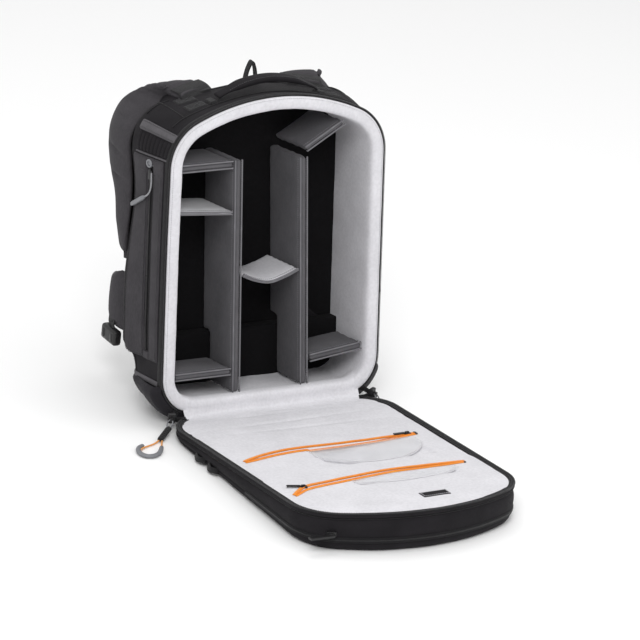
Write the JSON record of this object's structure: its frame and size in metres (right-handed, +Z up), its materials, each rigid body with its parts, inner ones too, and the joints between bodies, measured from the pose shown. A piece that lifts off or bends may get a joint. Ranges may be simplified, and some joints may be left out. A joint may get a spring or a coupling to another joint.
{
  "type": "camera backpack",
  "caption": "Camera backpack standing open: hinged padded front panel laid down, light lining, removable dividers and shelves, zips with sliders, handle, harness and hip belt.",
  "frame": {"origin": "centre of the flat underside of the boot, on the surface the bag stands on", "axes": "+Z up, +X across the bag to its right seen from the opening, -Y the side that opens, so the front panel lies along -Y"},
  "size_m": [0.46, 0.7252, 0.509],
  "materials": {
    "shell_fabric": "heather dark-grey coated polyester, matt",
    "black_fabric": "black ballistic weave, matt with a faint sheen",
    "boot_fabric": "black coated hard-wearing fabric",
    "light_lining": "light-grey brushed loop lining",
    "dark_lining": "dark charcoal brushed lining",
    "divider_fabric": "mid-grey padded brushed nylon",
    "shelf_fabric": "pale-grey padded brushed nylon",
    "zip_black": "black woven zip tape with coil",
    "zip_orange": "orange woven zip tape with coil",
    "orange_cord": "orange braided cord",
    "grey_cord": "silver-grey braided cord",
    "webbing": "black nylon webbing",
    "mesh_foam": "black spacer mesh over foam",
    "black_plastic": "black acetal",
    "grey_plastic": "grey rubbery moulding",
    "window": "clear soft sheet",
    "stiffener": "white polyethylene sheet",
    "label": "plain woven patch"
  },
  "bodies": {
    "bag_body": {"back_lining": "dark_lining", "back_pads": "mesh_foam", "back_panel": "mesh_foam", "boot": "boot_fabric", "frame_sheet": "stiffener", "hang_loop": "webbing", "hinge_strip": "black_fabric", "inner_lining": "light_lining", "lumbar_pad": "mesh_foam", "main_zip_tape": "zip_black", "outer_shell": "shell_fabric", "side_attachment_patch": "webbing", "side_panels": "shell_fabric", "side_zip_garage": "grey_plastic", "side_zip_tape": "zip_black", "strap_webbing": "webbing", "top_anchors": "webbing", "top_webbing": "webbing", "tripod_sleeve": "black_fabric", "tripod_strap": "webbing"},
    "front_panel": {"front_panel": "boot_fabric", "front_lining": "light_lining", "front_zip_tape": "zip_black", "front_pocket_zip": "zip_black", "pocket_window_near": "window", "pocket_window_far": "window", "pocket_zip_near": "zip_orange", "pocket_zip_far": "zip_orange", "blank_label": "label", "front_panel_loops": "webbing"},
    "main_slider_left": {"main_slider_left": "black_plastic"},
    "main_pull_left": {"main_pull_tab_left": "black_plastic", "main_pull_cord": "orange_cord", "main_pull_grip": "grey_plastic"},
    "main_slider_right": {"main_slider_right": "black_plastic"},
    "main_pull_right": {"main_pull_right": "black_plastic"},
    "side_zip_slider": {"side_zip_slider": "black_plastic", "side_pull_cord": "grey_cord", "side_pull_grip": "grey_plastic"},
    "pocket_slider_near": {"pocket_slider_near": "black_plastic"},
    "pocket_slider_far": {"pocket_slider_far": "black_plastic"},
    "front_pocket_slider": {"front_pocket_slider": "black_plastic"},
    "grab_handle": {"grab_handle": "webbing"},
    "shoulder_strap_left": {"shoulder_strap_left": "shell_fabric"},
    "shoulder_strap_right": {"shoulder_strap_right": "shell_fabric"},
    "sternum_strap_left": {"sternum_strap_left": "webbing"},
    "sternum_strap_right": {"sternum_strap_right": "webbing"},
    "hip_wing_left": {"hip_wing_left": "shell_fabric", "hip_buckle_left": "black_plastic"},
    "hip_wing_right": {"hip_wing_right": "shell_fabric", "hip_buckle_right": "black_plastic"},
    "tripod_buckle": {"tripod_buckle": "black_plastic"},
    "divider_left": {"divider_left": "divider_fabric"},
    "divider_right": {"divider_right": "divider_fabric"},
    "divider_right_slope": {"divider_right_slope": "divider_fabric"},
    "shelf_left_top": {"shelf_left_top": "divider_fabric"},
    "shelf_left_middle": {"shelf_left_middle": "shelf_fabric"},
    "shelf_left_bottom": {"shelf_left_bottom": "divider_fabric"},
    "shelf_centre": {"shelf_centre": "shelf_fabric"},
    "shelf_right_bottom": {"shelf_right_bottom": "divider_fabric"}
  },
  "joints": [
    {"name": "front_panel_hinge", "type": "hinge", "parent": "bag_body", "child": "front_panel", "pos_m": [0, -0.05, 0.02], "axis": [-1, 0, 0], "range_deg": [0, 93.27]},
    {"name": "main_zip_left", "type": "slide", "parent": "bag_body", "child": "main_slider_left", "axis": [-0.0527, 0.1436, 0.9882], "range_m": [0, 0.385]},
    {"name": "main_zip_right", "type": "slide", "parent": "bag_body", "child": "main_slider_right", "axis": [0.0527, 0.1436, 0.9882], "range_m": [0, 0.385]},
    {"name": "main_pull_swing_left", "type": "hinge", "parent": "main_slider_left", "child": "main_pull_left", "pos_m": [-0.1745, -0.0615, 0.012], "axis": [0.6281, -0.7781, 0], "range_deg": [0, 70]},
    {"name": "main_pull_swing_right", "type": "hinge", "parent": "main_slider_right", "child": "main_pull_right", "pos_m": [0.176, -0.0615, 0.012], "axis": [0.9517, 0.3069, 0], "range_deg": [0, 70]},
    {"name": "side_zip", "type": "slide", "parent": "bag_body", "child": "side_zip_slider", "axis": [0.0036, 0.1438, 0.9896], "range_m": [-0.25, 0]},
    {"name": "pocket_zip_near_slide", "type": "slide", "parent": "front_panel", "child": "pocket_slider_near", "axis": [1, 0, 0], "range_m": [-0.17, 0]},
    {"name": "pocket_zip_far_slide", "type": "slide", "parent": "front_panel", "child": "pocket_slider_far", "axis": [0.9981, 0.0617, -0.0054], "range_m": [0, 0.26]},
    {"name": "front_pocket_zip_run", "type": "hinge", "parent": "front_panel", "child": "front_pocket_slider", "pos_m": [-0.1065, -0.42138, 0.05249], "axis": [0, -0.0872, -0.9962], "range_deg": [-7, 50]},
    {"name": "handle_swing", "type": "hinge", "parent": "bag_body", "child": "grab_handle", "pos_m": [0, 0.062, 0.477], "axis": [1, 0, 0], "range_deg": [-20, 20]},
    {"name": "shoulder_strap_swing_left", "type": "hinge", "parent": "bag_body", "child": "shoulder_strap_left", "pos_m": [-0.092, 0.118, 0.462], "axis": [1, 0, 0], "range_deg": [0, 35]},
    {"name": "sternum_strap_height_left", "type": "slide", "parent": "shoulder_strap_left", "child": "sternum_strap_left", "axis": [0, 0.0576, 0.9983], "range_m": [0, 0.02]},
    {"name": "hip_wing_fold_left", "type": "hinge", "parent": "bag_body", "child": "hip_wing_left", "pos_m": [-0.147, 0.124, 0.13], "axis": [0, 0, 1], "range_deg": [0, 60]},
    {"name": "shoulder_strap_swing_right", "type": "hinge", "parent": "bag_body", "child": "shoulder_strap_right", "pos_m": [0.092, 0.118, 0.462], "axis": [1, 0, 0], "range_deg": [0, 35]},
    {"name": "sternum_strap_height_right", "type": "slide", "parent": "shoulder_strap_right", "child": "sternum_strap_right", "axis": [0, 0.0576, 0.9983], "range_m": [0, 0.02]},
    {"name": "hip_wing_fold_right", "type": "hinge", "parent": "bag_body", "child": "hip_wing_right", "pos_m": [0.147, 0.124, 0.13], "axis": [0, 0, -1], "range_deg": [0, 60]},
    {"name": "tripod_buckle_release", "type": "slide", "parent": "bag_body", "child": "tripod_buckle", "axis": [0, -0.9896, 0.1438], "range_m": [0, 0.02]},
    {"name": "divider_left_pull_out", "type": "slide", "parent": "bag_body", "child": "divider_left", "axis": [0, 0.9896, -0.1438], "range_m": [-0.2, 0]},
    {"name": "divider_right_pull_out", "type": "slide", "parent": "bag_body", "child": "divider_right", "axis": [0, 0.9896, -0.1438], "range_m": [-0.2, 0]},
    {"name": "divider_right_slope_pull_out", "type": "slide", "parent": "bag_body", "child": "divider_right_slope", "axis": [0, 0.9896, -0.1438], "range_m": [-0.2, 0]},
    {"name": "shelf_left_top_pull_out", "type": "slide", "parent": "bag_body", "child": "shelf_left_top", "axis": [0, 0.9896, -0.1438], "range_m": [-0.2, 0]},
    {"name": "shelf_left_middle_pull_out", "type": "slide", "parent": "bag_body", "child": "shelf_left_middle", "axis": [0, 0.9896, -0.1438], "range_m": [-0.2, 0]},
    {"name": "shelf_left_bottom_pull_out", "type": "slide", "parent": "bag_body", "child": "shelf_left_bottom", "axis": [0, 0.9896, -0.1438], "range_m": [-0.2, 0]},
    {"name": "shelf_centre_pull_out", "type": "slide", "parent": "bag_body", "child": "shelf_centre", "axis": [0, 0.9896, -0.1438], "range_m": [-0.2, 0]},
    {"name": "shelf_right_bottom_pull_out", "type": "slide", "parent": "bag_body", "child": "shelf_right_bottom", "axis": [0, 0.9896, -0.1438], "range_m": [-0.2, 0]}
  ]
}
